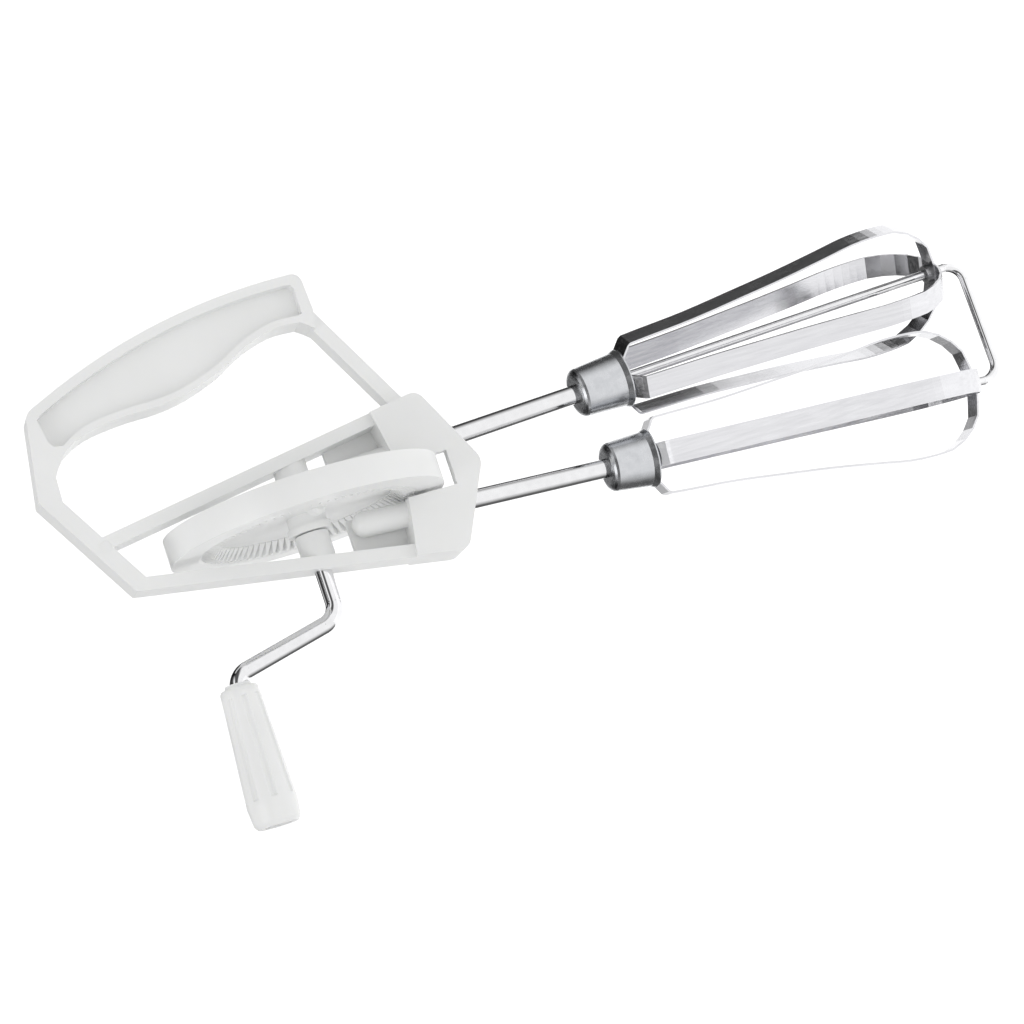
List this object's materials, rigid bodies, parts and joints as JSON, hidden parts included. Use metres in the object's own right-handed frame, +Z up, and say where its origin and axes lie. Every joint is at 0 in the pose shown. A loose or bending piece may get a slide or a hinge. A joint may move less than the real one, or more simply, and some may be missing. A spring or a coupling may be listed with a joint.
{
  "type": "egg beater",
  "caption": "Hand-cranked egg beater: an open grip and gear frame, a toothed drive wheel on a crank, and two caged beaters that turn opposite ways on a wire yoke.",
  "frame": {"origin": "centre of the grip, midway through its thickness", "axes": "+Z up along the tool, away from the beaters; +X from the crank side towards the grip; +Y through the thickness, towards the back"},
  "size_m": [0.1621, 0.088, 0.3153],
  "materials": {
    "white_plastic": "satin moulded",
    "plated_wire": "bright plated",
    "plated_rod": "bright plated",
    "plated_tube": "bright plated",
    "pressed_cup": "satin pressed",
    "steel_strip": "rolled strip",
    "steel_pin": "turned"
  },
  "bodies": {
    "frame": {"frame": "white_plastic", "wire_yoke": "plated_wire"},
    "crank": {"drive_wheel": "white_plastic", "crank_rod": "plated_rod", "drive_pin": "steel_pin", "knob_washer": "steel_pin"},
    "knob": {"crank_knob": "white_plastic"},
    "near_beater": {"near_pinion": "white_plastic", "near_tube": "plated_tube", "near_cup": "pressed_cup", "near_blade_outer": "steel_strip", "near_blade_inner": "steel_strip", "near_tip_washer": "steel_pin", "near_tip_eyelet": "steel_pin"},
    "far_beater": {"far_pinion": "white_plastic", "far_tube": "plated_tube", "far_cup": "pressed_cup", "far_blade_outer": "steel_strip", "far_blade_inner": "steel_strip", "far_tip_washer": "steel_pin", "far_tip_eyelet": "steel_pin"}
  },
  "joints": [
    {"name": "crank_turn", "type": "hinge", "parent": "frame", "child": "crank", "pos_m": [-0.0558, 0, -0.028], "axis": [-1, 0, 0], "continuous": true},
    {"name": "knob_spin", "type": "hinge", "parent": "crank", "child": "knob", "pos_m": [-0.12279, 0, 0.00874], "axis": [-0.9997, 0, 0.0262], "continuous": true},
    {"name": "near_beater_spin", "type": "hinge", "parent": "frame", "child": "near_beater", "pos_m": [-0.0635, 0, -0.028], "axis": [-0.0527, 0, -0.9986], "continuous": true},
    {"name": "far_beater_spin", "type": "hinge", "parent": "frame", "child": "far_beater", "pos_m": [-0.0481, 0, -0.028], "axis": [0.0527, 0, -0.9986], "continuous": true}
  ],
  "couplings": [
    {"joint": "near_beater_spin", "follows": "crank_turn", "ratio": 6},
    {"joint": "far_beater_spin", "follows": "crank_turn", "ratio": -6}
  ]
}
